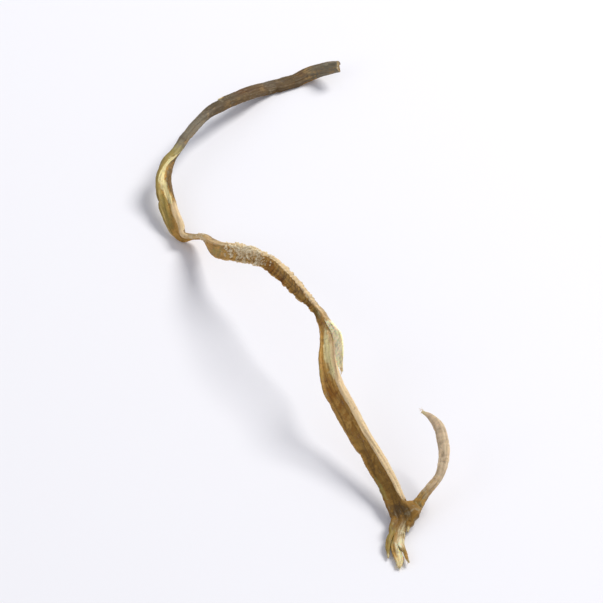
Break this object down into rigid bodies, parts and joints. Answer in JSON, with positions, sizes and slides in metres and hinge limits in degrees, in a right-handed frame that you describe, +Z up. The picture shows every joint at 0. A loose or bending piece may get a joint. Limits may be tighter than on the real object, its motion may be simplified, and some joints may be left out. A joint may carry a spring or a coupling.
{
  "type": "wakame stalk",
  "caption": "Narrow dried strip of wakame stalk, hooked at one end, folded, arched and twisted, with a hollow face, raised rims and a torn, frayed end.",
  "frame": {"origin": "on the surface that the strip lies on, under the middle of its box", "axes": "+Y towards the hooked, cut end, which is the longest way; +Z up"},
  "size_m": [0.0254, 0.064, 0.0074],
  "materials": {
    "dried_stalk": "satin"
  },
  "bodies": {
    "root": {"stalk": "dried_stalk"}
  },
  "joints": []
}
